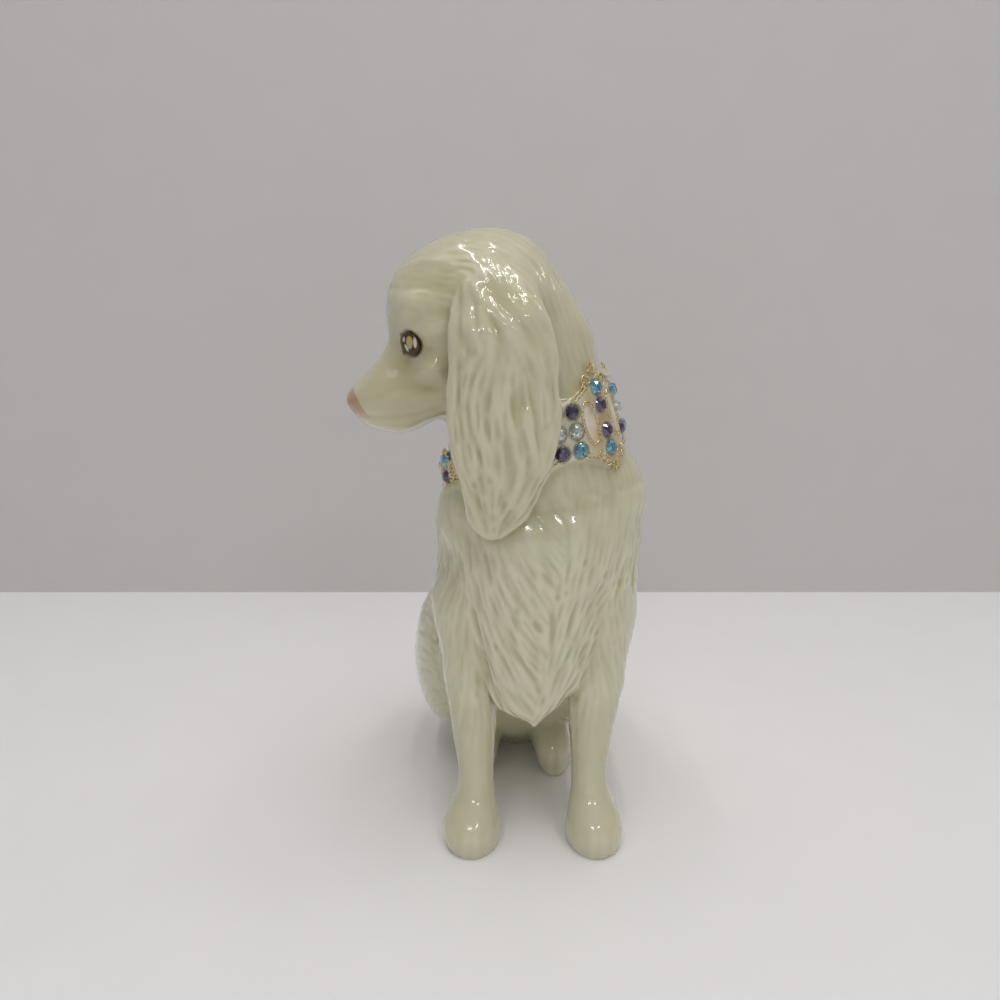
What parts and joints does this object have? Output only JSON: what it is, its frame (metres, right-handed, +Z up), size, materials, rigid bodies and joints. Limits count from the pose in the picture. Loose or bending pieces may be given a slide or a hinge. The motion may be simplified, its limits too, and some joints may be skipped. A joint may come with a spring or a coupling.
{
  "type": "sitting dog figurine",
  "caption": "Glazed porcelain figure of a sitting spaniel with its head turned aside, long wavy ears and a wide gilded collar set with faceted glass stones.",
  "frame": {"origin": "middle of the whole figure's box, on the surface it stands on", "axes": "+Z up, -Y the way the dog's breast faces, -X the way its head is turned"},
  "size_m": [0.0622, 0.0866, 0.1273],
  "materials": {
    "ivory_glaze": "ivory porcelain under a clear, glossy, slightly green glaze",
    "nose_enamel": "soft peach-tan enamel wash, glossy",
    "eye_enamel": "painted eye, amber iris in a dark brown outline, glossy",
    "gilt": "raised gilding, fired and lightly worn",
    "blue_glass": "faceted foiled glass, aquamarine blue",
    "violet_glass": "faceted foiled glass, violet",
    "clear_glass": "faceted foiled glass, clear"
  },
  "bodies": {
    "root": {"blue_stone_02": "blue_glass", "blue_stone_03": "blue_glass", "blue_stone_06": "blue_glass", "blue_stone_07": "blue_glass", "blue_stone_10": "blue_glass", "blue_stone_13": "blue_glass", "blue_stone_14": "blue_glass", "blue_stone_19": "blue_glass", "blue_stone_20": "blue_glass", "blue_stone_27": "blue_glass", "blue_stone_28": "blue_glass", "clear_stone_12": "clear_glass", "clear_stone_15": "clear_glass", "clear_stone_18": "clear_glass", "clear_stone_21": "clear_glass", "clear_stone_23": "clear_glass", "clear_stone_24": "clear_glass", "clear_stone_26": "clear_glass", "clear_stone_29": "clear_glass", "collar_band": "ivory_glaze", "gilt_lattice": "gilt", "head": "ivory_glaze", "left_ear": "ivory_glaze", "left_eye": "eye_enamel", "left_foreleg": "ivory_glaze", "left_hind_paw": "ivory_glaze", "left_thigh": "ivory_glaze", "nose": "nose_enamel", "right_ear": "ivory_glaze", "right_eye": "eye_enamel", "right_foreleg": "ivory_glaze", "right_hind_paw": "ivory_glaze", "right_thigh": "ivory_glaze", "tail": "ivory_glaze", "trunk": "ivory_glaze", "violet_stone_01": "violet_glass", "violet_stone_04": "violet_glass", "violet_stone_05": "violet_glass", "violet_stone_08": "violet_glass", "violet_stone_09": "violet_glass", "violet_stone_11": "violet_glass", "violet_stone_16": "violet_glass", "violet_stone_17": "violet_glass", "violet_stone_22": "violet_glass", "violet_stone_25": "violet_glass", "violet_stone_30": "violet_glass"}
  },
  "joints": []
}
